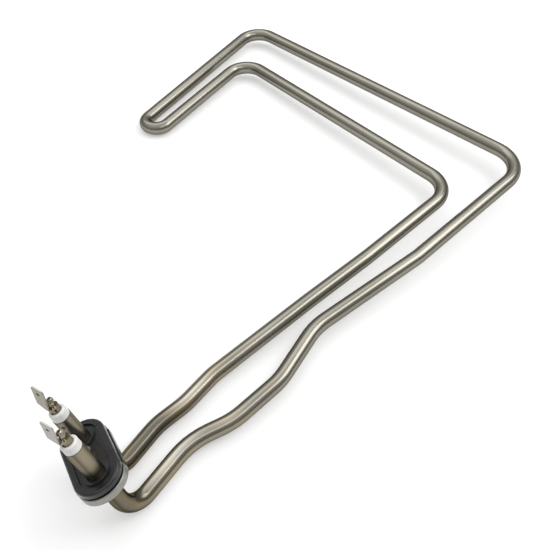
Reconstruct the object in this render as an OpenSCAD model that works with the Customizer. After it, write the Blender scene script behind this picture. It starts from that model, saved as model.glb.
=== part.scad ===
// Bent tubular immersion heater with a rubber sealing gasket and two blade terminals.
// The origin is the centre of the gasket's outer face, and the loop lies flat below it.
// The seat is the gasket's own frame: x runs from the front stub to the back stub,
// and z runs out of the tank, along both stubs.

/* [Sheath] */
// Outside diameter of the sheath tube
sheath_d = 8.5; // [7.5:0.1:9]
// Wall of the sheath tube
sheath_wall = 0.7; // [0.5:0.05:1]
// Mean length of the two stubs between the gasket's face and their ceramic bushes
stub_len = 16.6; // [12:0.1:25]
// How much longer than that the front stub is, and how much shorter the back one
stub_step = 0.6; // [0:0.1:1]
// Distance between the axes of the two stubs
stub_pitch = 24; // [22:0.5:28]
// Radius of the ball that makes the locating dimple in the back stub
dimple_r = 1.5; // [1:0.1:2]
// Depth of the locating dimple
dimple_depth = 0.35; // [0.1:0.05:0.35]
// Distance of the locating dimple from the stub's mouth
dimple_low = 3.3; // [2:0.1:6]
// Heading of the locating dimple round the back stub, in degrees
dimple_turn = 154; // [0:1:360]

/* [Seat] */
// Turn of the seat about its own x axis, in degrees
seat_roll = -14.4; // [-20:0.1:-8]
// Turn of the seat about the level y axis, in degrees
seat_tilt = 15.5; // [8:0.1:20]
// Heading of the line from the front stub to the back stub, in degrees
seat_turn = 163; // [155:0.5:170]
// Height of the gasket's face centre above the middle of the loop
loop_drop = 25.5; // [24:0.5:34]

/* [Loop] */
// Place across of the outer leg, at its straight far part
outer_leg_x = 15; // [10:0.5:20]
// Place across of the inner leg, at its straight far part
inner_leg_x = -5.5; // [-9:0.5:-3]
// Length of the outer cross run between its corner points
outer_cross = 245.5; // [200:0.5:300]
// Distance of the outer cross run from the seat
outer_cross_y = 318; // [280:0.5:360]
// Distance of the inner cross run from the seat, at the leg
inner_cross_y = 268.5; // [240:0.5:275]
// How much further out the inner cross run is at its far corner
inner_cross_rise = 13; // [0:0.5:20]
// Gap across between the far corners of the outer and the inner run
arm_gap = 26.5; // [22:0.5:40]
// Place across of the middle of the end bend
end_bend_x = -194; // [-204:0.5:-184]
// Distance of the middle of the end bend from the seat
end_bend_y = 191; // [150:0.5:220]
// Radius of the end bend, at the tube's axis
end_bend_r = 8.1; // [6:0.1:10]
// Radius of the outer run's corner at the leg, at the tube's axis
outer_corner_r = 22.5; // [12:0.5:25]
// Radius of the inner run's corner at the leg, at the tube's axis
inner_corner_r = 19; // [12:0.5:25]
// Radius of the corners at the far arms, at the tube's axis
arm_corner_r = 14; // [10:0.5:20]

/* [Joggles] */
// Radius of the gentle bends in the legs, at the tube's axis
joggle_r = 40; // [20:1:45]
// Outer leg, first bend: step across from the leg's straight part
outer_1_x = -2.5; // [-6:0.5:0]
// Outer leg, first bend: distance from the seat
outer_1_y = 42.5; // [38:0.5:46]
// Outer leg, second bend: step across
outer_2_x = 4; // [2:0.5:6]
// Outer leg, second bend: distance from the seat
outer_2_y = 64; // [60:0.5:68]
// Outer leg, third bend: step across
outer_3_x = 3.5; // [1:0.5:5]
// Outer leg, third bend: distance from the seat
outer_3_y = 96; // [90:0.5:102]
// Outer leg, fourth bend: step across
outer_4_x = -7; // [-9:0.5:-5]
// Outer leg, fourth bend: distance from the seat
outer_4_y = 132; // [128:0.5:140]
// Outer leg, last bend: distance from the seat
outer_5_y = 208; // [190:0.5:220]
// Inner leg, first bend: step across from the leg's straight part
inner_1_x = 0; // [-2:0.5:2]
// Inner leg, first bend: distance from the seat
inner_1_y = 37.5; // [34:0.5:40]
// Inner leg, second bend: step across
inner_2_x = 0.5; // [-1:0.5:2]
// Inner leg, second bend: distance from the seat
inner_2_y = 54.5; // [52:0.5:58]
// Inner leg, third bend: step across
inner_3_x = -2.5; // [-4:0.5:0]
// Inner leg, third bend: distance from the seat
inner_3_y = 75; // [72:0.5:85]
// Inner leg, fourth bend: step across
inner_4_x = -1.5; // [-3:0.5:0]
// Inner leg, fourth bend: distance from the seat
inner_4_y = 142.5; // [130:0.5:155]
// Inner leg, last bend: distance from the seat
inner_5_y = 188.5; // [175:0.5:200]

/* [Bends under the seat] */
// Radius of the bend under the front stub, at the tube's axis
front_bend_r = 12; // [9:0.5:14]
// Radius of the two bends under the back stub, at the tube's axis
back_bend_r = 9; // [7:0.5:9]
// Distance along the back stub from the gasket's face to its bend
back_drop = 20; // [19:0.5:21]
// Place across of the point where the inner leg meets the level
inner_foot_x = 0; // [-1:0.5:1]
// Distance from the seat of the point where the inner leg meets the level
inner_foot_y = 13; // [12:0.5:15]

/* [Gasket] */
// End radius of the gasket's front body
gasket_r = 11; // [10.5:0.1:12]
// Thickness of the gasket's front body
gasket_front = 2.8; // [2.4:0.1:5]
// Rounding of the front body's edge
gasket_edge = 1; // [0.4:0.1:1.5]
// Width of the raised rim round the sunk panel
rim_w = 3.2; // [2:0.1:3.5]
// Depth of the sunk panel
panel_depth = 1; // [0.4:0.1:1.6]
// Width of the groove that takes the edge of the tank wall
groove_w = 1.2; // [0.8:0.1:2]
// Depth of that groove
groove_depth = 1.2; // [0.6:0.1:2]
// Thickness of the rubber behind the groove
lip_t = 2; // [1.5:0.1:3]
// How far the lips along the two sides stand out past the front body
lip_out = 0.6; // [0:0.1:1]
// How far the lips hang over the sides of the plate
lip_hang = 1; // [0.4:0.1:1.2]
// Wall of the raised collar round each stub
collar_wall = 1.8; // [1:0.1:2.4]

/* [Plate and stud] */
// Thickness of the metal plate behind the gasket
plate_t = 1.4; // [1.3:0.1:2]
// Distance from the plate's middle line to its straight sides
plate_side = 10.2; // [9.9:0.1:10.4]
// Radius of the upturned walls at the plate's two ends
plate_r = 11.3; // [11:0.1:11.6]
// Rounding of the upper edge of those walls
plate_edge = 0.5; // [0.2:0.1:0.6]
// Diameter of the stud's outer end
stud_d = 5.5; // [4:0.1:6]
// Diameter of the stud's shank inside the gasket
shank_d = 6; // [5:0.1:7]
// How far the stud stands out past the gasket's face
stud_out = 3.5; // [2:0.1:8]
// Diameter of the stud's flat head behind the plate
stud_head_d = 9; // [7:0.1:10]
// Thickness of the stud's head
stud_head_t = 2; // [1:0.1:3]
// Width of the braze fillet round each stub
braze_w = 1.4; // [0.8:0.1:1.6]

/* [Ceramic bushes] */
// Length of each bush outside its stub
bush_len = 4.2; // [4:0.1:10]
// Diameter of that part of the bush
bush_d = 8; // [7.6:0.1:8.4]
// Rounding of the bush's outer edge
bush_edge = 0.9; // [0.4:0.1:1]
// Length of the bush's spigot inside the stub
bush_spigot = 3; // [2:0.1:5]
// Length of the seal below the spigot
seal_len = 5; // [3:0.1:8]

/* [Pins and winding] */
// Diameter of each terminal pin
pin_d = 2.8; // [2.4:0.1:3.2]
// How far the pin stands out past its bush
pin_out = 6.7; // [6:0.1:10]
// Length of each pin inside its stub, up to the winding
cold_len = 70; // [60:1:120]
// Outside diameter of the wound resistance wire
coil_d = 3.8; // [3:0.1:4.5]
// Diameter of the resistance wire
coil_wire = 0.6; // [0.3:0.05:0.8]
// Length of the pin's end that the winding grips
coil_grip = 8; // [4:0.5:15]

/* [Terminals] */
// Diameter of the collar at the foot of each pin
collar_d = 5.2; // [4.6:0.1:5.6]
// How far the collar stands out past its bush
collar_out = 3; // [2:0.1:3.4]
// How deep the collar is sunk in the bush
collar_sunk = 1.8; // [1:0.1:3]
// Width of the blade
blade_w = 6.3; // [4.8:0.1:6.3]
// Thickness of the blade
blade_t = 0.8; // [0.5:0.1:1]
// Distance of the blade's tip from the bush, along the blade
blade_tip = 15.7; // [12:0.1:18]
// Distance of the blade's foot from the bush, along the blade
blade_foot = 1.5; // [0.5:0.1:1.8]
// Distance of the shoulder beside the foot, along the blade
blade_shoulder = 1.9; // [1.9:0.1:6]
// Width of the cut between the shoulder and the foot
foot_side = 4.2; // [3:0.1:5.2]
// Corner cut off the blade's tip, along the blade
tip_cut = 0.9; // [0.4:0.1:2]
// Corner cut off the blade's tip, across the blade
tip_side = 0.7; // [0.4:0.1:1.5]
// Diameter of the hole in the blade
blade_hole_d = 1.7; // [1.2:0.1:2.2]
// Distance of that hole from the tip
blade_hole = 3.7; // [3:0.1:4.5]
// Distance of the blade's near edge from the stub's axis, at the bush
blade_near = 1.2; // [0.6:0.1:1.3]
// Depth of the flat on the collar that the blade lies on
flat_depth = 0.3; // [0.2:0.05:0.5]
// Turn of the blade about its stub, in degrees
blade_turn = 29.4; // [0:0.1:60]
// Lean of the blade in its own plane, in degrees
blade_skew = 26; // [10:1:28]

/* [Hidden] */

// Faces of every round shape, when it is drawn as a mesh
$fn = 64;
// How much thicker a bend's wall is on each side than a straight's
joint_step = 0.02;
// How far a straight reaches into the bend at its end
joint_lap = 0.05;
// Length of the flat between the two halves of the end bend
end_flat = 0.5;
// Clearance between round faces that seat in each other
fit = 0.1;
// Thickness of the plating on the pins' outer ends
plating = 0.03;
// Clearance of the rubber round the stubs and the stud
rubber_fit = 0.15;
// Extra length of a cutting shape past the face that it cuts
cut = 1;

sheath_r = sheath_d / 2;
bore_r = sheath_r - sheath_wall;
pin_r = pin_d / 2;
pin_end_r = pin_r + plating;
pin_tip_edge = pin_end_r / 2;
coil_r = coil_d / 2;
core_r = coil_r - coil_wire;
grip_r = core_r - fit;
gasket_t = gasket_front + groove_w + lip_t;
groove_r = gasket_r - groove_depth;
lip_r = gasket_r + lip_out;
panel_r = gasket_r - rim_w;
hole_r = sheath_r + rubber_fit;
// The flat for the blade lies this far from the pin's axis
flat_z = collar_d / 2 - flat_depth;
plate_back = -gasket_t - plate_t;

// Unit vector along a vector
function unit(v) = v / norm(v);
// A vector turned by the seat's three angles
function turn_x(v, a) = [v.x, v.y * cos(a) - v.z * sin(a), v.y * sin(a) + v.z * cos(a)];
function turn_y(v, a) = [v.x * cos(a) + v.z * sin(a), v.y, v.z * cos(a) - v.x * sin(a)];
function turn_z(v, a) = [v.x * cos(a) - v.y * sin(a), v.x * sin(a) + v.y * cos(a), v.z];
function seat_to_part(v) = turn_z(turn_y(turn_x(v, seat_roll), seat_tilt), seat_turn);

// The height of a stub's mouth above the gasket's face, with side -1 for the front and 1 for the back
function mouth_height(side) = stub_len - side * stub_step;
// The point of a stub's axis at a height above the gasket's face, with side -1 or 1
function stub_point(side, height) = seat_to_part([side * stub_pitch / 2, 0, height]);
// The length down the front stub from the gasket's face to the middle plane of the loop
seat_up = seat_to_part([0, 0, 1]);
front_drop = (stub_point(-1, 0).z + loop_drop) / seat_up.z;

// A point in the middle plane of the loop
function level(x, y) = [x, y, -loop_drop];
outer_corner = level(outer_leg_x - outer_cross, outer_cross_y);
inner_corner = level(outer_corner.x + arm_gap, inner_cross_y + inner_cross_rise);
end_middle = level(end_bend_x, end_bend_y);

// The two arms are the lines from the far corners that touch the circle of the end bend.
// An arm's direction is the line to the circle's middle, turned by the angle that makes it touch.
function arm_direction(corner, side) =
    turn_z(unit(end_middle - corner), side * asin(end_bend_r / norm(end_middle - corner)));
function arm_length(corner) =
    sqrt(pow(norm(end_middle - corner), 2) - pow(end_bend_r, 2));
outer_arm = arm_direction(outer_corner, -1);
inner_arm = arm_direction(inner_corner, 1);
// The end bend is two equal bends, and their corner points lie this far past the arms' ends
end_turn = 180 - acos(outer_arm * inner_arm);
end_reach = end_bend_r * tan((180 + sign(cross(outer_arm, inner_arm).z) * (180 - end_turn)) / 4);

// Corner points of the tube's axis with the bend radius at each, from the front stub's mouth
// along the outer run, round the end bend, and back along the inner run to the back stub
ROUTE = [
    [stub_point(-1, mouth_height(-1)), 0],
    [stub_point(-1, -front_drop), front_bend_r],
    [level(outer_leg_x + outer_1_x, outer_1_y), joggle_r],
    [level(outer_leg_x + outer_2_x, outer_2_y), joggle_r],
    [level(outer_leg_x + outer_3_x, outer_3_y), joggle_r],
    [level(outer_leg_x + outer_4_x, outer_4_y), joggle_r],
    [level(outer_leg_x, outer_5_y), joggle_r],
    [level(outer_leg_x, outer_cross_y), outer_corner_r],
    [outer_corner, arm_corner_r],
    [outer_corner + outer_arm * (arm_length(outer_corner) + end_reach), end_bend_r - end_flat / 2],
    [inner_corner + inner_arm * (arm_length(inner_corner) + end_reach), end_bend_r - end_flat / 2],
    [inner_corner, arm_corner_r],
    [level(inner_leg_x, inner_cross_y), inner_corner_r],
    [level(inner_leg_x, inner_5_y), joggle_r],
    [level(inner_leg_x + inner_4_x, inner_4_y), joggle_r],
    [level(inner_leg_x + inner_3_x, inner_3_y), joggle_r],
    [level(inner_leg_x + inner_2_x, inner_2_y), joggle_r],
    [level(inner_leg_x + inner_1_x, inner_1_y), joggle_r],
    [level(inner_foot_x, inner_foot_y), back_bend_r],
    [stub_point(1, -back_drop), back_bend_r],
    [stub_point(1, mouth_height(1)), 0]
];
legs = len(ROUTE) - 1;

// Per straight run: its direction and the distance between its corner points
function corner(i) = ROUTE[i][0];
dirs = [for (i = [0 : legs - 1]) unit(corner(i + 1) - corner(i))];
spans = [for (i = [0 : legs - 1]) norm(corner(i + 1) - corner(i))];
// Per corner point: the angle of the bend, its axis, its radius and the straight that it uses up
turns = [for (i = [0 : legs]) i == 0 || i == legs ? 0 : acos(dirs[i - 1] * dirs[i])];
axes = [for (i = [0 : legs]) i == 0 || i == legs ? [0, 0, 1] : unit(cross(dirs[i - 1], dirs[i]))];
radii = [for (i = [0 : legs]) i == 0 || i == legs ? 0 :
    min(ROUTE[i][1], min(spans[i - 1], spans[i]) / 2 / tan(turns[i] / 2))];
used = [for (i = [0 : legs]) radii[i] * tan(turns[i] / 2)];
// The turn of the tube about itself that brings one bend's axis to the next one's
rolls = [for (i = [0 : legs]) i < 2 || i == legs ? 0 :
    atan2(cross(axes[i - 1], axes[i]) * dirs[i - 1], axes[i - 1] * axes[i])];
straights = [for (i = [0 : legs - 1]) spans[i] - used[i] - used[i + 1]];
bend_lens = [for (i = [0 : legs]) radii[i] * turns[i] * PI / 180];
// Length of the tube's axis from the front mouth to the start of each straight run
starts = [for (i = 0, s = 0; i < legs; s = s + straights[i] + bend_lens[i + 1], i = i + 1) s];
ends = [for (i = [0 : legs - 1]) starts[i] + straights[i]];
total_len = ends[legs - 1];

// The frame at the front mouth: z along the tube, y along the axis of the first bend
module at_front_mouth() {
    z = dirs[0];
    y = axes[1];
    x = cross(y, z);
    o = corner(0);
    multmatrix([[x.x, y.x, z.x, o.x], [x.y, y.y, z.y, o.y], [x.z, y.z, z.z, o.z], [0, 0, 0, 1]])
        children();
}

// A ring outline, or a full disc with no inner radius
module ring(outer, inner = 0) {
    difference() {
        circle(r = outer);
        if (inner > 0)
            circle(r = inner);
    }
}

// The frame at the start of a straight run: z along the tube, y along the last bend's axis
module at_run(i) {
    if (i == 0)
        at_front_mouth()
            children();
    else
        at_bend(i)
            translate([radii[i], 0, 0])
                rotate([0, turns[i], 0])
                    translate([-radii[i], 0, 0])
                        children();
}

// The frame at the start of a bend: z along the tube, and the bend turns towards +x
module at_bend(i) {
    at_run(i - 1)
        translate([0, 0, straights[i - 1]])
            rotate([0, 0, rolls[i]])
                children();
}

// A tube or a rod along the route, between two lengths from the front mouth.
// A bend's wall is a hair thicker than a straight's, and the straights reach a little way
// into the bends, so that no two surfaces touch without crossing where the runs are joined.
module sweep(from, to, outer, inner = 0) {
    for (i = [0 : legs - 1]) {
        low = i > 0 && starts[i] > from ? -joint_lap : max(from - starts[i], 0);
        high = i < legs - 1 && ends[i] < to ? straights[i] + joint_lap
            : min(to - starts[i], straights[i]);
        if (high - low > 2 * joint_lap)
            at_run(i)
                translate([0, 0, low])
                    linear_extrude(high - low)
                        ring(outer, inner);
    }
    for (i = [1 : legs - 1]) {
        low = max(from - ends[i - 1], 0) / bend_lens[i] * turns[i];
        high = min((to - ends[i - 1]) / bend_lens[i], 1) * turns[i];
        if (high > low)
            at_bend(i)
                translate([radii[i], 0, 0])
                    rotate([90, 0, 180])
                        rotate_extrude(angle = high - low, start = low)
                            translate([radii[i], 0])
                                ring(outer + joint_step, inner > 0 ? inner - joint_step : 0);
    }
}

module in_seat() {
    rotate([seat_roll, seat_tilt, seat_turn])
        children();
}

// The frame of a stub at its mouth, z outwards, with side -1 for the front and 1 for the back
module at_mouth(side) {
    in_seat()
        translate([side * stub_pitch / 2, 0, mouth_height(side)])
            children();
}

// The half section in the children, carried round both stubs' axes at the far sides
module round_ends() {
    for (side = [-1, 1])
        translate([side * stub_pitch / 2, 0, 0])
            rotate([0, 0, -90 * side])
                rotate_extrude(angle = 180)
                    children();
}

// The half section in the children, carried along both straight sides, stopping short by a gap
module straight_sides(gap = 0) {
    rotate([90, 0, 90])
        translate([0, 0, gap - stub_pitch / 2])
            linear_extrude(stub_pitch - 2 * gap) {
                children();
                mirror([1, 0])
                    children();
            }
}

// An outline with two round ends, r round each stub's axis
module long_round(r) {
    for (side = [-1, 1])
        translate([side * stub_pitch / 2, 0])
            circle(r = r);
    translate([-stub_pitch / 2, -r])
        square([stub_pitch, 2 * r]);
}

// Half section from the axis to radius r, between two heights, with its top corner rounded
module rounded_top(r, low, high, edge) {
    translate([0, low])
        square([r, high - low - edge]);
    translate([0, low])
        square([r - edge, high - low]);
    translate([r - edge, high - edge])
        circle(r = edge);
}

// Sheath: one seamless tube with a small locating dimple near the back mouth
module sheath_tube() {
    color("#b3a994")
        difference() {
            sweep(0, total_len, sheath_r, bore_r);
            at_mouth(1)
                rotate([0, 0, dimple_turn])
                    translate([sheath_r + dimple_r - dimple_depth, 0, -dimple_low])
                        sphere(r = dimple_r);
        }
}

module magnesia_fill() {
    packed = bush_spigot + seal_len;
    color("#ece9df") {
        sweep(packed, cold_len + joint_lap, bore_r - fit, pin_r + fit);
        sweep(cold_len, total_len - cold_len, bore_r - fit, coil_r + fit);
        sweep(total_len - cold_len - joint_lap, total_len - packed, bore_r - fit, pin_r + fit);
    }
}

module magnesia_core() {
    color("#ece9df")
        sweep(cold_len + coil_grip, total_len - cold_len - coil_grip, core_r - fit);
}

// The close winding of resistance wire, as the tube that its turns fill
module heating_coil() {
    color("#8d8a84")
        sweep(cold_len + fit, total_len - cold_len - fit, coil_r, core_r);
}

// The pin's plated end, from inside its stub's mouth to a rounded tip
module pin_end(side) {
    at_mouth(side)
        rotate_extrude()
            rounded_top(pin_end_r, -bush_spigot, bush_len + pin_out, pin_tip_edge);
}

module cold_pin_front() {
    color("#a39b8b") {
        pin_end(-1);
        sweep(bush_spigot / 2, cold_len, pin_r);
        sweep(cold_len - joint_lap, cold_len + coil_grip, grip_r);
    }
}

module cold_pin_back() {
    color("#a39b8b") {
        pin_end(1);
        sweep(total_len - cold_len, total_len - bush_spigot / 2, pin_r);
        sweep(total_len - cold_len - coil_grip, total_len - cold_len + joint_lap, grip_r);
    }
}

// Sealing plug in the stub's mouth, below the bush
module end_seal(side) {
    color("#c9c4b8")
        at_mouth(side)
            translate([0, 0, -bush_spigot - seal_len])
                linear_extrude(seal_len)
                    ring(bore_r - fit, pin_r + fit);
}

module end_seal_front() {
    end_seal(-1);
}

module end_seal_back() {
    end_seal(1);
}

// White bush: a spigot in the stub, a body hardly narrower than the stub, and a counterbore
// for the collar
module ceramic_bush(side) {
    color("#f2f1ec")
        at_mouth(side)
            difference() {
                union() {
                    rotate_extrude()
                        rounded_top(bush_d / 2, 0, bush_len, bush_edge);
                    translate([0, 0, -bush_spigot])
                        cylinder(r = bore_r - fit, h = bush_spigot);
                }
                translate([0, 0, -bush_spigot - cut])
                    cylinder(r = pin_end_r + fit, h = bush_spigot + bush_len + 2 * cut);
                translate([0, 0, bush_len - collar_sunk])
                    cylinder(r = collar_d / 2 + fit, h = collar_sunk + cut);
            }
}

module ceramic_bush_front() {
    ceramic_bush(-1);
}

module ceramic_bush_back() {
    ceramic_bush(1);
}

// The frame of a blade: x across it, y along the stub's axis, z out of its face,
// with the origin on the stub's axis at the bush's outer face
module at_blade(side) {
    at_mouth(side)
        translate([0, 0, bush_len])
            rotate([0, 0, blade_turn + 180])
                rotate([90, 0, 0])
                    children();
}

// What is cut off the collar, so that the blade lies flat on it
module blade_flat(side) {
    at_blade(side)
        translate([-collar_d, 0, flat_z])
            cube([2 * collar_d, collar_out + cut, collar_d]);
}

// Collar welded round the pin's foot, with a flat that carries the blade
module pin_collar(side) {
    color("#8f8672")
        difference() {
            at_mouth(side)
                translate([0, 0, bush_len - collar_sunk])
                    linear_extrude(collar_sunk + collar_out)
                        ring(collar_d / 2, pin_end_r + fit);
            blade_flat(side);
        }
}

module pin_collar_front() {
    pin_collar(-1);
}

module pin_collar_back() {
    pin_collar(1);
}

// A point of the blade, from its distance across and along, leaned in the blade's plane
function leaned(x, y) = [
    x * cos(blade_skew) + y * sin(blade_skew) - blade_near,
    y * cos(blade_skew) - x * sin(blade_skew)
];

// Terminal: a flat blade that leans past the pin and is welded to the collar's flat
module blade(side) {
    color("#b9b4a6")
        at_blade(side)
            translate([0, 0, flat_z])
                linear_extrude(blade_t)
                    difference() {
                        polygon([
                            leaned(0, blade_foot),
                            leaned(0, blade_tip - tip_cut),
                            leaned(-tip_side, blade_tip),
                            leaned(tip_side - blade_w, blade_tip),
                            leaned(-blade_w, blade_tip - tip_cut),
                            leaned(-blade_w, blade_shoulder),
                            leaned(foot_side - blade_w, blade_foot)
                        ]);
                        translate(leaned(-blade_w / 2, blade_tip - blade_hole))
                            circle(d = blade_hole_d);
                    }
}

module blade_front() {
    blade(-1);
}

module blade_back() {
    blade(1);
}

// Gasket: a rounded front body with a sunk panel, a groove for the tank wall, and two lips
// that lie along the sides of the plate and hang over them
module rubber_gasket() {
    lip_edge = lip_t / 4;
    color("#35363a")
        in_seat()
            difference() {
                union() {
                    difference() {
                        union() {
                            round_ends()
                                rounded_top(gasket_r, -gasket_front, 0, gasket_edge);
                            straight_sides()
                                rounded_top(gasket_r, -gasket_front, 0, gasket_edge);
                        }
                        translate([0, 0, -panel_depth])
                            linear_extrude(panel_depth + cut)
                                long_round(panel_r);
                    }
                    for (side = [-1, 1])
                        translate([side * stub_pitch / 2, 0, -panel_depth])
                            cylinder(r = hole_r + collar_wall, h = panel_depth);
                    translate([0, 0, -gasket_t])
                        linear_extrude(gasket_t - panel_depth)
                            long_round(groove_r);
                    straight_sides(rubber_fit)
                        rounded_top(lip_r, -gasket_t - lip_hang, lip_t - gasket_t, lip_edge);
                }
                translate([0, 0, -gasket_t - lip_hang - cut])
                    linear_extrude(lip_hang + cut)
                        long_round(plate_side + rubber_fit);
                for (side = [-1, 1])
                    translate([side * stub_pitch / 2, 0, -gasket_t - cut])
                        cylinder(r = hole_r, h = gasket_t + 2 * cut);
                translate([0, 0, -gasket_t - cut])
                    cylinder(r = shank_d / 2 + rubber_fit, h = gasket_t + 2 * cut);
            }
}

// Metal plate that backs the gasket on the tank's side, turned up round the gasket's two ends
module back_plate() {
    color("#a9a69d")
        in_seat()
            difference() {
                union() {
                    round_ends()
                        rounded_top(plate_r, plate_back, lip_t - gasket_t, plate_edge);
                    translate([0, 0, plate_back])
                        linear_extrude(plate_t)
                            long_round(plate_side);
                }
                translate([0, 0, -gasket_t])
                    linear_extrude(lip_t + cut)
                        long_round(groove_r + rubber_fit);
                translate([0, 0, plate_back - cut])
                    linear_extrude(plate_t + 2 * cut) {
                        for (side = [-1, 1])
                            translate([side * stub_pitch / 2, 0])
                                circle(r = sheath_r + fit);
                        circle(r = shank_d / 2 + fit);
                    }
            }
}

// Stud through the middle, with a round end outside and a flat head behind the plate
module centre_stud() {
    stud_edge = stud_d / 4;
    color("#9a968c")
        in_seat() {
            rotate_extrude()
                rounded_top(stud_d / 2, plate_back, stud_out, stud_edge);
            translate([0, 0, plate_back])
                cylinder(d = shank_d, h = -panel_depth - plate_back);
            translate([0, 0, plate_back - stud_head_t])
                cylinder(d = stud_head_d, h = stud_head_t);
        }
}

// Braze fillet between a stub and the plate, on the tank's side
module braze(side) {
    color("#9c8f6f")
        in_seat()
            translate([side * stub_pitch / 2, 0, plate_back - braze_w])
                rotate_extrude()
                    difference() {
                        translate([sheath_r + fit, 0])
                            square([braze_w, braze_w]);
                        translate([sheath_r + fit + braze_w, 0])
                            circle(r = braze_w - 2 * fit);
                    }
}

module braze_front() {
    braze(-1);
}

module braze_back() {
    braze(1);
}

sheath_tube();
magnesia_fill();
magnesia_core();
heating_coil();
cold_pin_front();
cold_pin_back();
end_seal_front();
end_seal_back();
ceramic_bush_front();
ceramic_bush_back();
pin_collar_front();
pin_collar_back();
blade_front();
blade_back();
rubber_gasket();
back_plate();
centre_stud();
braze_front();
braze_back();
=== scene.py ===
from collections import namedtuple

import bpy
import numpy as np
from mathutils import Matrix, Vector


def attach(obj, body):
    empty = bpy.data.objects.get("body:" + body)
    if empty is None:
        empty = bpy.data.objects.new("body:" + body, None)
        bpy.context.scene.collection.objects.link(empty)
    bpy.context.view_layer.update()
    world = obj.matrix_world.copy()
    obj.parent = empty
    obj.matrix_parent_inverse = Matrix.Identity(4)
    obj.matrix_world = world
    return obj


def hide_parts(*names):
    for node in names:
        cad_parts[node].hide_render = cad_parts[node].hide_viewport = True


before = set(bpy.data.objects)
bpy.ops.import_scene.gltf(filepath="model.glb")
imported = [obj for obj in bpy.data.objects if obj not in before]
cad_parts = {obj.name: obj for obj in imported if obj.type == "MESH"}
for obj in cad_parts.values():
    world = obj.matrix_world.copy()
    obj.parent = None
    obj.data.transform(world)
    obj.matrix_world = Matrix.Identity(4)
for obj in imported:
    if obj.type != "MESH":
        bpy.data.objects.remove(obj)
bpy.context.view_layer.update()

MM = 0.001
FRONT, BACK = -1, 1
SIDE_NAMES = {FRONT: "front", BACK: "back"}

# Sizes of the heater in millimetres, as in the frame
SHEATH_R = 4.25
SHEATH_WALL = 0.7
STUB_PITCH = 24.0
MOUTHS = {FRONT: 17.2, BACK: 16.0}
BUSH_OUT = 4.2
PIN_OUT = 6.7

# The sheath's route: the legs' places across, the far corners, and the circle of the end bend
LOOP_Z = -25.5
OUTER_LEG, INNER_LEG = 15.0, -5.5
FAR_OUT, FAR_IN = (-230.5, 318.0), (-204.0, 281.5)
END_BEND, END_BEND_R, END_FLAT = (-194.0, 191.0), 8.1, 0.5

# A blade's width, and for each side how far its tip and its shoulder lie out of the bush and how
# far the terminal leans, in degrees
BLADE_W = 6.3
BLADE_TIP = {FRONT: 16.5, BACK: 18.0}
BLADE_SHOULDER = {FRONT: 2.0, BACK: 3.4}
LEAN = {FRONT: 0.0, BACK: -1.7}


def turned(roll, tilt, heading):
    """Rotation matrix: a turn about x, then about y, then about z, in degrees."""
    a, b, c = np.radians([roll, tilt, heading])
    about_x = np.array([[1, 0, 0], [0, np.cos(a), -np.sin(a)], [0, np.sin(a), np.cos(a)]])
    about_y = np.array([[np.cos(b), 0, np.sin(b)], [0, 1, 0], [-np.sin(b), 0, np.cos(b)]])
    about_z = np.array([[np.cos(c), -np.sin(c), 0], [np.sin(c), np.cos(c), 0], [0, 0, 1]])
    return about_z @ about_y @ about_x


# The gasket's own frame, with the stubs along its z axis
SEAT = turned(-14.4, 15.5, 163.0)


def in_seat(points):
    """Points of the gasket's own frame, in the row frame."""
    return np.asarray(points, float) @ SEAT.T


def stub(side, height):
    """The place on a stub's axis at a height above the gasket's face."""
    return in_seat([side * STUB_PITCH / 2, 0, height])


def on_terminal(side, points):
    """Points about a stub's axis, in the row frame. The terminal leans about the seat's x axis,
    from the gasket's face."""
    leaned = np.asarray(points, float) @ turned(-LEAN[side], 0, 0).T
    return in_seat(leaned + [side * STUB_PITCH / 2, 0, 0])


def unit(v):
    """The vector over its length."""
    return v / np.linalg.norm(v)


def hump(x, middle, width):
    """A Gaussian that is 1 at the middle and 1/e a width away."""
    return np.exp(-((x - middle) / width) ** 2)


def rise(x, start, width):
    """A straight rise from 0 at the start to 1 a width further, held outside."""
    return np.clip((x - start) / width, 0, 1)


# Meshes


def grid_faces(rows, columns, closed_rows=False, closed_columns=False, first=0):
    """Quads of a grid of rows by columns vertices; a closed direction joins its end to its start."""
    i = np.arange(rows if closed_rows else rows - 1)
    j = np.arange(columns if closed_columns else columns - 1)
    i, j = np.meshgrid(i, j, indexing="ij")
    i2, j2 = (i + 1) % rows, (j + 1) % columns
    quads = np.stack([i * columns + j, i * columns + j2, i2 * columns + j2, i2 * columns + j], -1)
    return quads.reshape(-1, 4) + first


def piece(name, points, faces, material, values, smooth=True, replaces=()):
    """A mesh object on the root body, from points in millimetres, faces, and a number for each
    point under each key of values."""
    mesh = bpy.data.meshes.new(name)
    mesh.from_pydata((points * MM).tolist(), [], faces.tolist())
    mesh.update()
    if smooth:
        mesh.polygons.foreach_set("use_smooth", np.ones(len(mesh.polygons), bool))
    for key, data in values.items():
        layer = mesh.attributes.new(key, "FLOAT", "POINT")
        layer.data.foreach_set("value", data.astype(np.float32))
    mesh.materials.append(material)
    made = bpy.data.objects.new(name, mesh)
    bpy.context.scene.collection.objects.link(made)
    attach(made, "root")
    if replaces:
        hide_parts(*replaces)


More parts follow.
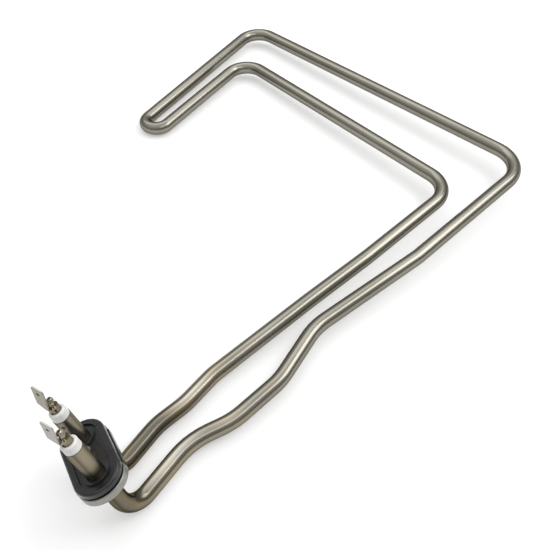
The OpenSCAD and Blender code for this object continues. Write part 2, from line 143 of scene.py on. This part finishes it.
def lathe(profile):
    """A closed turned shape: at each radius r and height z of the profile a ring of points
    (r cos a, r sin a, z), and at both of its ends one point on the axis. Gives the points, the
    triangles, and which row of the profile each point comes from."""
    rows, around = len(profile), 48
    a = np.linspace(0, 2 * np.pi, around, endpoint=False)
    r, z = profile[1:-1, 0, None], profile[1:-1, 1, None]
    rings = np.stack([r * np.cos(a), r * np.sin(a), np.repeat(z, around, 1)], -1).reshape(-1, 3)
    ends = np.array([[0, 0, profile[0, 1]], [0, 0, profile[-1, 1]]])
    j = np.arange(around)
    j2 = (j + 1) % around
    top = np.full(around, len(rings))
    last = (rows - 3) * around
    sides = grid_faces(rows - 2, around, closed_columns=True)
    faces = np.concatenate([
        np.stack([j, j2, top], -1), np.stack([last + j2, last + j, top + 1], -1),
        sides[:, [2, 1, 0]], sides[:, [3, 2, 0]]])
    row = np.concatenate([np.repeat(np.arange(1, rows - 1), around), [0, rows - 1]])
    return np.concatenate([rings, ends]), faces, row


# The sheath's route


def level(x, y):
    """A corner of the loop, which is level."""
    return np.array([x, y, LOOP_Z])


def route():
    """Corner points of the tube's axis and the bend radius at each, from the front mouth to the
    back. An arm is the line from a far corner that touches the circle of the end bend: it turns
    from the way to the circle's centre by the angle whose sine is the radius over the distance."""
    down = (stub(FRONT, 0)[2] - LOOP_Z) / SEAT[2, 2]
    outer, inner, middle = level(*FAR_OUT), level(*FAR_IN), level(*END_BEND)

    def arm(corner, side):
        """The way and the length of the line from a corner that touches the circle on one side."""
        reach = np.linalg.norm(middle - corner)
        x, y = (middle - corner)[:2] / reach
        a = side * np.arcsin(END_BEND_R / reach)
        way = np.array([x * np.cos(a) - y * np.sin(a), x * np.sin(a) + y * np.cos(a), 0.0])
        return way, np.sqrt(reach ** 2 - END_BEND_R ** 2)

    out_way, out_length = arm(outer, -1)
    in_way, in_length = arm(inner, 1)
    between = np.degrees(np.arccos(out_way @ in_way))
    spread = np.sign(np.cross(out_way, in_way)[2])
    beyond = END_BEND_R * np.tan(np.radians((180 + spread * between) / 4))
    end_r = END_BEND_R - END_FLAT / 2
    return [
        # The front stub, and the outer leg with its joggle
        (stub(FRONT, MOUTHS[FRONT]), 0), (stub(FRONT, -down), 12),
        (level(OUTER_LEG - 2.5, 42.5), 40), (level(OUTER_LEG + 4, 64), 40),
        (level(OUTER_LEG + 3.5, 96), 40), (level(OUTER_LEG - 7, 132), 40),
        (level(OUTER_LEG, 208), 40), (level(OUTER_LEG, 318), 22.5),
        # The two arms and the end bend
        (outer, 14), (outer + out_way * (out_length + beyond), end_r),
        (inner + in_way * (in_length + beyond), end_r), (inner, 14),
        # The inner leg and the back stub
        (level(INNER_LEG, 268.5), 19), (level(INNER_LEG, 188.5), 40),
        (level(INNER_LEG - 1.5, 142.5), 40), (level(INNER_LEG - 2.5, 75), 40),
        (level(INNER_LEG + 0.5, 54.5), 40), (level(INNER_LEG, 37.5), 40),
        (level(0, 13), 9), (stub(BACK, -20), 9), (stub(BACK, MOUTHS[BACK]), 0)]


Axis = namedtuple("Axis", "place tangent normal gone")


def tube_axis(per_bend, run_step, stub_step=None):
    """Samples of the axis: straight runs joined by circular bends. Gives places, tangents, a normal
    carried along without twist, and the distance gone from the front mouth. On a bend of radius r
    from the way d to the side c, the place is start + r (sin t d + (1 - cos t) c). A quarter turn
    has per_bend samples, and a run has one each run_step, or each stub_step on the two stubs."""
    corners, radii = zip(*route())
    corners = np.array(corners)
    ways = [unit(b - a) for a, b in zip(corners[:-1], corners[1:])]
    spans = np.linalg.norm(np.diff(corners, axis=0), axis=1)
    place, tangent, normal = [], [], []
    side = unit(np.cross(ways[0], [0.0, 0.0, 1.0]))
    at, used_before = corners[0], 0.0
    for i, way in enumerate(ways):
        last = i == len(ways) - 1
        used = 0.0
        if not last:
            angle = np.arccos(np.clip(way @ ways[i + 1], -1, 1))
            r = min(radii[i + 1], min(spans[i], spans[i + 1]) / 2 / np.tan(angle / 2))
            used = r * np.tan(angle / 2)
        run = spans[i] - used_before - used
        count = max(int(np.ceil(run / run_step)), 2)
        if stub_step and (i == 0 or last):
            count = int(np.ceil(run / stub_step))
        steps = np.linspace(0, run, count + 1)
        if not last:
            steps = steps[:-1]
        place += list(at + steps[:, None] * way)
        tangent += [way] * len(steps)
        normal += [side] * len(steps)
        if last:
            break
        start = at + run * way
        inward = unit(ways[i + 1] - way * (way @ ways[i + 1]))
        over = np.cross(way, inward)
        n = max(int(round(per_bend * angle / (np.pi / 2))), 5)
        t = np.linspace(0, angle, n + 1)[:, None]
        arc = start + r * (np.sin(t) * way + (1 - np.cos(t)) * inward)
        ahead = np.cos(t) * way + np.sin(t) * inward
        square = np.cos(t) * inward - np.sin(t) * way
        # The normal keeps its shares of the three turning directions
        carried = (side @ inward) * square + (side @ way) * ahead + (side @ over) * over
        place += list(arc[:-1])
        tangent += list(ahead[:-1])
        normal += list(carried[:-1])
        at, side = arc[-1], carried[-1]
        used_before = used
    place = np.array(place)
    gone = np.concatenate([[0], np.cumsum(np.linalg.norm(np.diff(place, axis=0), axis=1))])
    return Axis(place, np.array(tangent), np.array(normal), gone)


def tube_wall(r, around, axis):
    """Rings of radius r round the axis, squared to it: centre + r (cos a n + sin a b)."""
    normal, binormal = axis.normal[:, None], np.cross(axis.tangent, axis.normal)[:, None]
    a = np.linspace(0, 2 * np.pi, around, endpoint=False)[None, :, None]
    return axis.place[:, None] + r * (np.cos(a) * normal + np.sin(a) * binormal)


def dimpled(points):
    """The small round dimple near the back mouth: points inside a ball move out to its surface,
    along the line from its centre."""
    heading, low, ball_off, ball_r = np.radians(154.0), 3.3, 1.15, 1.5
    off = SHEATH_R + ball_off
    centre = stub(BACK, 0) + in_seat([off * np.cos(heading), off * np.sin(heading), MOUTHS[BACK] - low])
    away = points - centre
    far = np.linalg.norm(away, axis=-1, keepdims=True)
    return np.where(far < ball_r, centre + away / np.maximum(far, 1e-6) * ball_r, points)


# Shader maths


class Maths:
    """A socket of a tree of nodes. Python's operators on it add Math nodes."""

    def __init__(self, tree, socket):
        self.tree = tree
        self.socket = socket

    def node(self, kind, settings=None, out=0, **values):
        """Adds a node, sets its settings, and fills its sockets with numbers or links. A key is the
        socket's name with _ for a space, or its number after a _. Gives the output out."""
        made = self.tree.nodes.new(kind)
        for key, value in (settings or {}).items():
            setattr(made, key, value)
        for key, value in values.items():
            slot = made.inputs[int(key[1:])] if key[0] == "_" else made.inputs[key.replace("_", " ")]
            if isinstance(value, Maths):
                self.tree.links.new(value.socket, slot)
            else:
                slot.default_value = value
        return Maths(self.tree, made.outputs[out])

    def maths(self, operation, a, b):
        """One Math node on two numbers or sockets."""
        return self.node("ShaderNodeMath", {"operation": operation}, _0=a, _1=b)

    # Sums, differences and products, each with its reflected form
    def __add__(self, other):
        return self.maths("ADD", self, other)

    def __radd__(self, other):
        return self.maths("ADD", other, self)

    def __sub__(self, other):
        return self.maths("SUBTRACT", self, other)

    def __rsub__(self, other):
        return self.maths("SUBTRACT", other, self)

    def __mul__(self, other):
        return self.maths("MULTIPLY", self, other)

    def __rmul__(self, other):
        return self.maths("MULTIPLY", other, self)

    def ramp(self, low, high, to_low=0.0, to_high=1.0):
        """Carries low..high smoothly to to_low..to_high, and holds outside."""
        return self.node("ShaderNodeMapRange", {"interpolation_type": "SMOOTHSTEP"},
                         _0=self, _1=low, _2=high, _3=to_low, _4=to_high)

    def mix(self, a, b):
        """Colour a where this is 0 and colour b where it is 1. A Mix node's colours are its sockets
        6 and 7, and its colour comes out of socket 2."""
        return self.node("ShaderNodeMix", {"data_type": "RGBA"}, out=2, _0=self, _6=a, _7=b)

    def noise(self, scale, detail, rough=0.5):
        """Noise round 0.5 on these coordinates, with scale cells to each unit of them."""
        return self.node("ShaderNodeTexNoise", Vector=self, Scale=scale, Detail=detail, Roughness=rough)

    def patches(self, dark, light):
        """Soft patches of two colours: noise from 0.3 to 0.7 goes from the first to the second."""
        return self.ramp(0.3, 0.7).mix(dark, light)


def rgb(r, g, b):
    """A colour, in linear values, with full alpha."""
    return (r, g, b, 1.0)


def finish(name, **fixed):
    """A new material: the fixed values go on its shader's own sockets. Gives the material, its
    shader and its object coordinates."""
    material = bpy.data.materials.new(name)
    material.use_nodes = True
    tree = material.node_tree
    shader = tree.nodes["Principled BSDF"]
    for key, value in fixed.items():
        shader.inputs[key.replace("_", " ")].default_value = value
    place = Maths(tree, tree.nodes.new("ShaderNodeTexCoord").outputs["Object"])
    return material, shader, place


def feed(shader, name, value):
    """Links a value to one of the shader's sockets."""
    value.tree.links.new(value.socket, shader.inputs[name])


def bump(height, strength):
    """A normal that leans with the slope of a height, which stands for 0.1 mm."""
    return height.node("ShaderNodeBump", Strength=strength, Distance=0.0001, Height=height)


def attribute(place, name):
    """A number that the mesh carries at each of its points."""
    return place.node("ShaderNodeAttribute", {"attribute_name": name}, out="Fac")


# Finishes


def sheath_steel():
    """Drawn stainless that darkens at its edges: fine streaks along the tube, soft clouds, a brown
    heat tint and tan patches that fade away from both mouths, painted reflection bands with a tan
    painted highlight on the front stub, painted shade in the dimple, darker metal towards the
    gasket, and painted highlights on top of the first bends."""
    grey, pale_grey = rgb(0.225, 0.214, 0.178), rgb(0.285, 0.274, 0.236)
    brown, tan_painted_highlight = rgb(0.235, 0.202, 0.138), rgb(0.31, 0.258, 0.175)
    stain_tan, edge = rgb(0.36, 0.275, 0.165), rgb(0.45, 0.43, 0.38)
    # The near-black colour is painted shade and painted reflection, and the palest one is a painted
    # highlight
    scorched, painted_highlight_pale = rgb(0.02, 0.017, 0.012), rgb(0.68, 0.66, 0.60)
    material, shader, place = finish("sheath_stainless", Metallic=1.0, Specular_Tint=edge)
    along, around = attribute(place, "along"), attribute(place, "around")
    near = attribute(place, "mouth")

    def drawn(stretch, turns):
        """Coordinates that run slowly along the tube and fast round it."""
        return place.node("ShaderNodeCombineXYZ", X=along * stretch, Y=around * turns, Z=0.0)

    fine = drawn(0.012, 7.0).noise(2.5, 2.0)
    clouds = place.noise(32.0, 3.0)
    tint = near.ramp(0.0, 150.0, 1.0, 0.0) * clouds.ramp(0.3, 0.7, 0.55, 1.0)
    stains = drawn(0.05, 3.2).noise(1.0, 2.0).ramp(0.48, 0.66) * near.ramp(18.0, 32.0)
    stains = stains * near.ramp(60.0, 180.0, 0.7, 0.0)
    steel = (fine * 0.5 + clouds * 0.5).patches(grey, pale_grey)
    steel = (tint * 0.8).mix(steel, brown)
    # Tan painted highlight beside the front stub's painted reflection bands
    steel = (attribute(place, "tan") * 0.7).mix(steel, tan_painted_highlight)
    steel = stains.mix(steel, stain_tan)
    # Painted reflection bands, painted shade in the dimple, and darker metal towards the gasket
    steel = attribute(place, "shade").mix(scorched, steel)
    # Painted highlights on top of the first bends
    steel = attribute(place, "bend_highlight").mix(steel, painted_highlight_pale)
    feed(shader, "Base Color", steel)
    dulled = near.ramp(10.0, 45.0, 0.08, 0.0)
    feed(shader, "Roughness", fine * 0.05 + clouds * 0.06 + dulled + 0.17)
    return material


def satin_metal(name, light, dark, roughness):
    """Metal with soft patches of two colours and a fine grain."""
    material, shader, place = finish(name, Metallic=1.0)
    clouds = place.noise(90.0, 4.0, 0.6)
    feed(shader, "Base Color", clouds.patches(dark, light))
    feed(shader, "Roughness", clouds * 0.15 + (roughness - 0.07))
    feed(shader, "Normal", bump(place.noise(1800.0, 2.0), 0.15))
    return material


def blade_sheet(name, light, dark):
    """Satin sheet with a painted highlight on its cut edges and painted shade in its bore."""
    # The pale cut colour is a painted highlight on the edges, and the dark one is painted shade in the
    # bore
    cut, bore_shade = rgb(0.62, 0.58, 0.50), rgb(0.05, 0.04, 0.03)
    material, shader, place = finish(name, Metallic=1.0)
    clouds = place.noise(120.0, 4.0, 0.6)
    sheet = attribute(place, "rim").mix(clouds.patches(dark, light), cut)
    feed(shader, "Base Color", attribute(place, "bore").ramp(0.3, 0.9).mix(sheet, bore_shade))
    feed(shader, "Roughness", clouds * 0.12 + 0.30)
    feed(shader, "Normal", bump(place.noise(1800.0, 2.0), 0.12))
    return material


def scorched_steel():
    """Pin and weld metal that is scorched dark in its hollows."""
    material, shader, place = finish("scorched_steel", Metallic=1.0)
    clouds = place.noise(420.0, 4.0, 0.6)
    metal = clouds.patches(rgb(0.30, 0.265, 0.20), rgb(0.50, 0.46, 0.38))
    feed(shader, "Base Color", attribute(place, "dark").mix(metal, rgb(0.035, 0.028, 0.02)))
    feed(shader, "Roughness", clouds * 0.15 + 0.20)
    feed(shader, "Normal", bump(clouds, 0.2))
    return material


def ceramic():
    """White glazed ceramic, faintly clouded."""
    material, shader, place = finish("white_ceramic", Roughness=0.32, Coat_Weight=0.25)
    white, pale = rgb(0.82, 0.815, 0.80), rgb(0.74, 0.735, 0.72)
    feed(shader, "Base Color", place.noise(220.0, 3.0).patches(pale, white))
    feed(shader, "Normal", bump(place.noise(1500.0, 2.0), 0.1))
    return material


def rubber():
    """Black moulded rubber under a thin bloom, with specks of dust."""
    black, bloom = rgb(0.009, 0.009, 0.010), rgb(0.018, 0.019, 0.021)
    dust = rgb(0.034, 0.034, 0.038)
    material, shader, place = finish(
        "black_rubber", Specular_IOR_Level=0.25, Coat_Weight=0.5, Coat_Roughness=0.14)
    clouds = place.noise(180.0, 4.0, 0.6)
    specks = place.noise(700.0, 3.0, 0.6).ramp(0.60, 0.75)
    feed(shader, "Base Color", specks.mix(clouds.patches(black, bloom), dust))
    feed(shader, "Roughness", clouds * 0.16 + 0.24)
    feed(shader, "Normal", bump(place.noise(2500.0, 2.0), 0.25))
    return material


def filler(name, colour, roughness):
    """A dull clouded filling, such as packed powder or set compound."""
    material, shader, place = finish(name, Roughness=roughness)
    shade = rgb(*(0.8 * c for c in colour[:3]))
    feed(shader, "Base Color", place.noise(400.0, 3.0).patches(shade, colour))
    return material


def recoat(node, material):
    """Puts a material in every slot of a CAD node."""
    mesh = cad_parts[node].data
    if not mesh.materials:
        mesh.materials.append(material)
    for i in range(len(mesh.materials)):
        mesh.materials[i] = material


def recoat_all():
    """The finishes of the CAD nodes that stay."""
    white = ceramic()
    pin_metal = satin_metal("pin_steel", rgb(0.36, 0.33, 0.25), rgb(0.24, 0.21, 0.15), 0.20)
    collar_metal = satin_metal("collar_steel", rgb(0.26, 0.23, 0.165), rgb(0.14, 0.12, 0.08), 0.20)
    braze_metal = satin_metal("braze_metal", rgb(0.30, 0.25, 0.17), rgb(0.20, 0.16, 0.10), 0.42)
    sealing = filler("sealing_compound", rgb(0.62, 0.58, 0.50), 0.6)
    for side in SIDE_NAMES.values():
        recoat("ceramic_bush_" + side, white)
        recoat("cold_pin_" + side, pin_metal)
        recoat("pin_collar_" + side, collar_metal)
        recoat("braze_" + side, braze_metal)
        recoat("end_seal_" + side, sealing)
    powder = filler("packed_magnesia", rgb(0.80, 0.79, 0.75), 0.9)
    recoat("magnesia_fill", powder)
    recoat("magnesia_core", powder)
    recoat("heating_coil",
           satin_metal("resistance_wire", rgb(0.40, 0.39, 0.38), rgb(0.28, 0.27, 0.26), 0.45))
    recoat("rubber_gasket", rubber())
    recoat("back_plate", satin_metal("plate_sheet", rgb(0.33, 0.325, 0.30), rgb(0.25, 0.245, 0.22), 0.36))
    recoat("centre_stud", satin_metal("stud_steel", rgb(0.32, 0.30, 0.26), rgb(0.22, 0.20, 0.17), 0.30))


# The heater's own pieces


def painted_bands_and_darkening(ring, *distances):
    """Painted reflections as lengthwise bands on the front stub, and darker metal towards the gasket.
    Across the stub a dark Gaussian dip lies in the middle and both sides darken, as painted
    reflection, and a tan Gaussian lies beside the dip as a painted highlight. They fade as
    exp(-x^4), where x is the distance over their length. The stubs darken towards the gasket, and
    so do the feet beyond it. For each list of distances it gives how much of the steel's colour
    stays and how much of the tan painted highlight it has."""
    dip_depth, side_depth, stub_depth, foot_depth = 0.48, 0.25, 0.15, 0.45
    heading, streak_length = np.radians(169.0), 105.0
    own = (ring - stub(FRONT, MOUTHS[FRONT])) @ SEAT
    across = np.sin(np.arctan2(own[:, 1], own[:, 0]) - heading)
    # Painted reflection: a dark dip and darker sides; painted highlight: a tan Gaussian beside the dip
    dark = dip_depth * hump(across, -0.10, 0.19) + side_depth * rise(np.abs(across), 0.8, 0.15)
    tan = hump(across, 0.5, 0.26)
    total = distances[0][-1]
    shades, tan_highlights = [], []
    for gone in distances:
        fade = np.exp(-(gone / streak_length) ** 4)[:, None]
        near = np.minimum(gone, total - gone)
        foot_end = np.where(gone < total / 2, 42.0, 72.0)
        gasket_darkening = stub_depth * rise(near, 5.0, 12.0) * (1 - rise(near, 22.0, 4.0))
        gasket_darkening += foot_depth * rise(near, 24.0, 4.0) * (1 - rise(near, foot_end, 20.0))
        shades.append(((1 - fade * dark) * (1 - gasket_darkening[:, None])).ravel())
        tan_highlights.append((fade * tan).ravel())
    return np.concatenate(shades), np.concatenate(tan_highlights)


def painted_bend_highlights(axis, wall):
    """A painted highlight on top of the tube's first bends: a Gaussian along the tube round each of
    three distances, times a falloff with the angle between the wall's outward way and up."""
    upward, sharpness = np.array([0.147, -0.089, 0.985]), 0.04
    total = axis.gone[-1]
    # Each bend's distance from the front mouth, how far the painted highlight spreads, and how bright it
    # is
    bends = ((72.0, 18.0, 0.85), (104.0, 12.0, 0.28), (total - 90.0, 12.0, 0.7))
    facing = (wall - axis.place[:, None]) @ upward / SHEATH_R
    bend_highlight = np.max([amount * hump(axis.gone, middle, width) for middle, width, amount in bends], axis=0)
    return (bend_highlight[:, None] * np.exp((facing - 1.0) / sharpness)).ravel()


def make_sheath(material):
    """The sheath: an outer and an inner wall carried along the axis, joined by the mouths' rims.
    Its points carry the distance from the front mouth and from the nearer mouth, the share of half
    a turn round the tube, and masks of painted reflection bands, painted shade in the dimple, darker
    metal towards the gasket and painted highlights on top of the first bends."""
    around = 96
    dimple_painted_shade, dimple_edge = 0.65, 0.12
    outer_axis = tube_axis(16, 5.0, 0.2)
    inner_axis = tube_axis(6, 20.0)
    plain_wall = tube_wall(SHEATH_R, around, outer_axis)
    outer = dimpled(plain_wall)
    inner = tube_wall(SHEATH_R - SHEATH_WALL, around, inner_axis)
    rows, inner_rows = len(outer), len(inner)
    first = rows * around
    j = np.arange(around)
    j2 = (j + 1) % around
    end, inner_end = first - around, first + (inner_rows - 1) * around
    faces = np.concatenate([
        grid_faces(rows, around, closed_columns=True)[:, ::-1],
        grid_faces(inner_rows, around, closed_columns=True, first=first),
        np.stack([j, first + j, first + j2, j2], -1),
        np.stack([end + j, end + j2, inner_end + j2, inner_end + j], -1)])
    along = np.concatenate([np.repeat(axis.gone, around) for axis in (outer_axis, inner_axis)])
    half_turn = np.tile(np.abs(np.linspace(-1, 1, around, endpoint=False)), rows + inner_rows)
    # Painted reflection bands, a tan painted highlight, and darker metal towards the gasket
    shade, tan = painted_bands_and_darkening(outer[0], outer_axis.gone, inner_axis.gone)
    pressed = np.linalg.norm(outer - plain_wall, axis=-1).ravel()
    # Painted shade inside the dimple's hollow
    shade[:first] *= 1 - dimple_painted_shade * rise(pressed, 0, dimple_edge)
    # Painted highlights on top of the first bends, on the outer wall only
    bend_highlight = np.concatenate([painted_bend_highlights(outer_axis, plain_wall), np.zeros(inner_rows * around)])
    nearer_mouth = np.minimum(along, outer_axis.gone[-1] - along)
    values = {"along": along, "around": half_turn, "mouth": nearer_mouth,
              "shade": shade, "tan": tan, "bend_highlight": bend_highlight}
    points = np.concatenate([outer.reshape(-1, 3), inner.reshape(-1, 3)])
    piece("sheath", points, faces, material, values, replaces=["sheath_tube"])


def ray_reach(outline, angles):
    """Distance from the origin to a convex outline, at each angle: the nearest crossing of the ray
    with the outline's edges."""
    a, b = outline, np.roll(outline, -1, axis=0)
    ray = np.stack([np.cos(angles), np.sin(angles)], -1)[:, None]
    edge = (b - a)[None]
    cross = ray[..., 0] * edge[..., 1] - ray[..., 1] * edge[..., 0]
    cross = np.where(np.abs(cross) < 1e-9, 1e-9, cross)
    reach = (a[:, 0] * edge[..., 1] - a[:, 1] * edge[..., 0]) / cross
    share = (a[:, 0] * ray[..., 1] - a[:, 1] * ray[..., 0]) / cross
    met = (reach > 0) & (share > -1e-6) & (share < 1 + 1e-6)
    return np.where(met, reach, np.inf).min(axis=1)


def make_blade(side, material):
    """A blade with a hole: rings round the hole's centre at growing distances, first on the face,
    over the softened edge, and back along the underside, closed into one skin. The blade is skewed
    in its own plane and stands beside the pin, with its tip's corners cut."""
    tip, shoulder = BLADE_TIP[side], BLADE_SHOULDER[side]
    foot, foot_inset = 1.5, 4.2
    # How far the cut of each of the tip's corners reaches, across and down
    near_cut, far_cut = (0.5, 0.6), (0.7, 0.9)
    hole_r, hole_rim, hole_low = 0.85, 0.3, 4.1
    thick, soft, from_axis = 0.8, 0.16, 2.3
    skew, beside, heading = np.radians(26.0), 1.3, 209.4
    corners = np.array([
        [0.0, foot], [0.0, tip - near_cut[1]], [-near_cut[0], tip], [far_cut[0] - BLADE_W, tip],
        [-BLADE_W, tip - far_cut[1]], [-BLADE_W, shoulder], [foot_inset - BLADE_W, foot]])
    middle = np.array([-BLADE_W / 2, tip - hole_low])
    outline = corners - middle
    turns = np.arctan2(outline[:, 1], outline[:, 0])
    angles = np.unique(np.concatenate([turns, np.linspace(-np.pi, np.pi, 72, endpoint=False)]))
    far = ray_reach(outline, angles)
    # Each ring's reach and height, and whether it is on the cut edge, with its painted highlight, and in
    # the bore, with its painted shade
    reaches, heights, rim, bore = zip(
        (hole_r, thick, 0.0, 1.0), (hole_r + hole_rim, thick, 0.0, 0.0),
        (far - soft, thick, 0.0, 0.0), (far, thick - soft, 1.0, 0.0),
        (far, soft, 1.0, 0.0), (far - soft, 0.0, 0.0, 0.0), (hole_r, 0.0, 0.0, 1.0))
    laps = []
    for reach, height in zip(reaches, heights):
        x, y = middle[0] + reach * np.cos(angles), middle[1] + reach * np.sin(angles)
        laps.append(np.stack([x * np.cos(skew) + y * np.sin(skew) - beside,
                              y * np.cos(skew) - x * np.sin(skew),
                              np.full(len(angles), from_axis + height)], -1))
    upright = turned(0, 0, heading) @ turned(90, 0, 0)
    points = on_terminal(side, np.concatenate(laps) @ upright.T + [0, 0, MOUTHS[side] + BUSH_OUT])
    faces = grid_faces(len(laps), len(angles), closed_rows=True, closed_columns=True)[:, ::-1]
    values = {"rim": np.repeat(rim, len(angles)), "bore": np.repeat(bore, len(angles))}
    name = "blade_" + SIDE_NAMES[side]
    piece(name + "_sheet", points, faces, material, values, smooth=False, replaces=[name])


# Profiles of the pin's dished tip and of the weld bead: radius, height and how dark it is scorched
PIN_TIP = np.array([
    [0, 0.04, 1], [0.30, 0.05, 1], [0.52, 0.12, 1], [0.68, 0.34, 0.6], [0.86, 0.42, 0], [1.06, 0.36, 0],
    [1.26, 0.14, 0], [1.44, -0.25, 0], [1.50, -0.8, 0.2], [1.50, -1.3, 0.6], [1.2, -1.5, 0],
    [0, -1.5, 0]])
WELD_BEAD = np.array([
    [0, 0.12, 1], [0.20, 0.14, 1], [0.36, 0.34, 0.7], [0.56, 0.46, 0], [0.78, 0.36, 0],
    [0.92, 0.05, 0.2], [0.9, -0.4, 0.5], [0, -0.5, 0]])


def make_terminal_ends(side, material):
    """The pin's dished tip, and the weld bead on the collar's rim, which looks out and up."""
    face = MOUTHS[side] + BUSH_OUT
    points, faces, row = lathe(PIN_TIP)
    piece("pin_tip_" + SIDE_NAMES[side], on_terminal(side, points + [0, 0, face + PIN_OUT]), faces,
          material, {"dark": PIN_TIP[row, 2]})
    heading, tilt, from_axis, from_face = np.radians(170.0), np.radians(50.0), 2.1, 2.95
    out = np.array([np.cos(heading), np.sin(heading), 0])
    axis = np.cos(tilt) * out + np.sin(tilt) * np.array([0, 0, 1.0])
    across = np.cross([0, 0, 1.0], out)
    centre = from_axis * out + np.array([0, 0, face + from_face])
    points, faces, row = lathe(WELD_BEAD)
    points = centre + points @ np.array([across, np.cross(axis, across), axis])
    piece("weld_bead_" + SIDE_NAMES[side], on_terminal(side, points), faces,
          material, {"dark": WELD_BEAD[row, 2]})


recoat_all()
make_sheath(sheath_steel())
scorched = scorched_steel()
front_sheet = blade_sheet("blade_front_sheet", rgb(0.365, 0.36, 0.335), rgb(0.30, 0.295, 0.27))
back_sheet = blade_sheet("blade_back_sheet", rgb(0.285, 0.265, 0.21), rgb(0.23, 0.215, 0.165))
for side, sheet in ((FRONT, front_sheet), (BACK, back_sheet)):
    make_blade(side, sheet)
    make_terminal_ends(side, scorched)


# Floor, light and camera


def make_floor():
    """A plain pale sheet under the heater, which leans on its front bend and on its end bend. The
    camera and the metal's reflections see it lifted to white, and its shadow stays."""
    up, height = unit(np.array([0.027739, 0.032156, 0.999098])), -29.6
    half, under = 6000.0, np.array([-90.0, 160.0, 0])
    grey, lift = 0.70, 0.34
    material = bpy.data.materials.new("floor_paper")
    material.use_nodes = True
    tree = material.node_tree
    tree.nodes.clear()
    output = tree.nodes.new("ShaderNodeOutputMaterial")
    rays = tree.nodes.new("ShaderNodeLightPath")
    seen = Maths(tree, rays.outputs["Is Camera Ray"])
    for name in ("Is Glossy Ray", "Is Transmission Ray"):
        seen = seen.maths("MAXIMUM", seen, Maths(tree, rays.outputs[name]))
    paper = seen.node("ShaderNodeBsdfDiffuse", Color=rgb(grey, grey, grey))
    lit = seen.node("ShaderNodeEmission", Color=rgb(1, 1, 1), Strength=lift)
    both = seen.node("ShaderNodeAddShader", _0=paper, _1=lit)
    shown = seen.node("ShaderNodeMixShader", _0=seen, _1=paper, _2=both)
    tree.links.new(shown.socket, output.inputs["Surface"])
    across = unit(np.cross([0, 1.0, 0], up))
    away = np.cross(up, across)
    middle = under + up * (height - under @ up)
    corners = [middle + half * (a * across + b * away) for a, b in ((-1, -1), (1, -1), (1, 1), (-1, 1))]
    mesh = bpy.data.meshes.new("floor")
    mesh.from_pydata([tuple(c * MM) for c in corners], [], [(0, 1, 2, 3)])
    mesh.materials.append(material)
    floor = bpy.data.objects.new("floor", mesh)
    bpy.context.scene.collection.objects.link(floor)


def make_world():
    """A soft grey room that grows paler with the square of the height, and is dimmer on one side."""
    world = bpy.data.worlds.new("studio")
    bpy.context.scene.world = world
    world.use_nodes = True
    tree = world.node_tree
    tree.nodes.clear()
    output = tree.nodes.new("ShaderNodeOutputWorld")
    way = Maths(tree, tree.nodes.new("ShaderNodeTexCoord").outputs["Generated"])
    side = way.node("ShaderNodeSeparateXYZ", out="X", Vector=way)
    height = way.node("ShaderNodeSeparateXYZ", out="Z", Vector=way)
    horizon, overhead, dim_side = 0.36, 0.98, 0.85
    strength = (height * height * overhead + horizon) * side.ramp(-0.3, 0.45, 1.0, dim_side)
    room = way.node("ShaderNodeBackground", Color=rgb(1, 1, 1), Strength=strength)
    tree.links.new(room.socket, output.inputs["Surface"])


def softbox(name, heading, height, width, tall, radiance):
    """A soft rectangular lamp that faces the heater, from a heading and a height in degrees.
    Its width and its tallness are in metres, and its radiance is 1 where it looks white."""
    heater, distance = Vector((-0.06, 0.15, -0.02)), 1.2
    lamp = bpy.data.lights.new(name, "AREA")
    lamp.shape = "RECTANGLE"
    lamp.size = width
    lamp.size_y = tall
    lamp.energy = radiance * np.pi * width * tall
    a, b = np.radians([heading, height])
    away = Vector((np.cos(b) * np.cos(a), np.cos(b) * np.sin(a), np.sin(b)))
    held = bpy.data.objects.new(name, lamp)
    held.location = heater + away * distance
    held.rotation_mode = "QUATERNION"
    held.rotation_quaternion = (-away).to_track_quat("-Z", "Y")
    bpy.context.scene.collection.objects.link(held)


def make_camera():
    """The camera of the photograph: its place and its axes in the row frame."""
    place = Vector((190.256, -59.223, 296.757))
    right = Vector((0.704411, 0.708527, -0.042362))
    up = Vector((-0.497149, 0.535097, 0.683018))
    ahead = Vector((-0.506605, 0.460065, -0.729172))
    focal_pixels, photo_pixels = 800.0, 550.0
    lens = bpy.data.cameras.new("photo_camera")
    lens.sensor_width = 36.0
    lens.lens = focal_pixels / photo_pixels * lens.sensor_width
    lens.clip_start = 0.01
    lens.clip_end = 50.0
    camera = bpy.data.objects.new("photo_camera", lens)
    turn = Matrix((right, up, -ahead)).transposed().to_4x4()
    camera.matrix_world = Matrix.Translation(place * MM) @ turn
    bpy.context.scene.collection.objects.link(camera)
    bpy.context.scene.camera = camera


make_floor()
make_world()
softbox("wide_lamp", 138, 53, 1.7, 0.5, 1.15)
softbox("key_lamp", 58, 43, 0.66, 0.56, 3.5)
softbox("fill_lamp", 10, 56, 0.8, 0.36, 1.5)
make_camera()
bpy.context.scene.view_settings.view_transform = "Standard"

bpy.context.view_layer.update()
